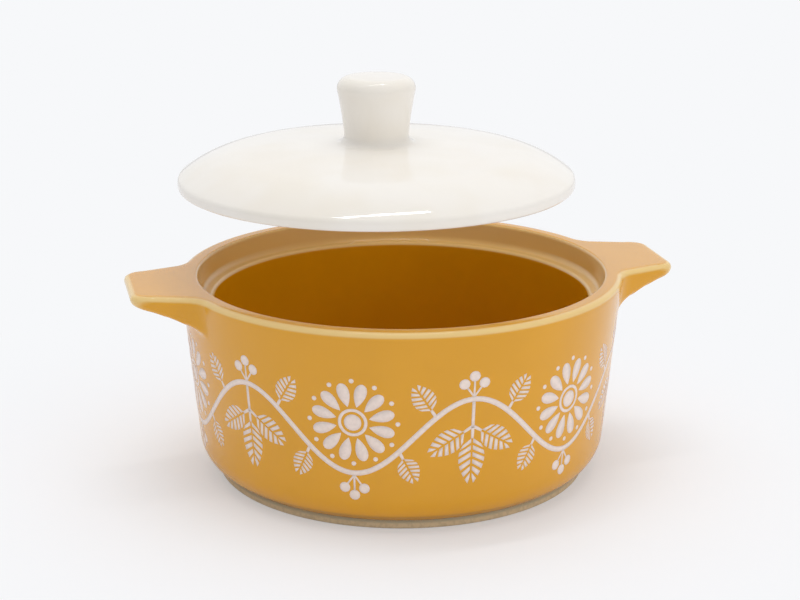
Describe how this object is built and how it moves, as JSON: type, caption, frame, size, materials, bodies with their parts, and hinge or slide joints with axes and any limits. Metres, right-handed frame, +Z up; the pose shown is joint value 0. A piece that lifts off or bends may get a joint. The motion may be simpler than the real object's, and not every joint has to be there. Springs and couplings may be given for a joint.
{
  "type": "covered casserole dish",
  "caption": "Small round glazed casserole dish with lug handles, a stepped rim and a foot ring, and a lift-off domed lid with a round knob.",
  "frame": {"origin": "centre of the foot ring's underside, on the surface that the dish stands on", "axes": "+Z up through the knob, +X along the two handles, +Y across them"},
  "size_m": [0.0892, 0.0718, 0.0645],
  "materials": {
    "golden_glaze": "glossy golden yellow glaze, paler where it runs thin over the edges",
    "white_glaze": "glossy warm white glaze",
    "pale_print": null,
    "bare_clay": "bare fired clay, matt"
  },
  "bodies": {
    "dish": {"dish": "golden_glaze"},
    "lid": {"lid": "white_glaze"}
  },
  "joints": [
    {"name": "lid_lift", "type": "slide", "parent": "dish", "child": "lid", "axis": [-0.2117, 0.0488, 0.9761], "range_m": [-0.01824, 0.02]}
  ]
}
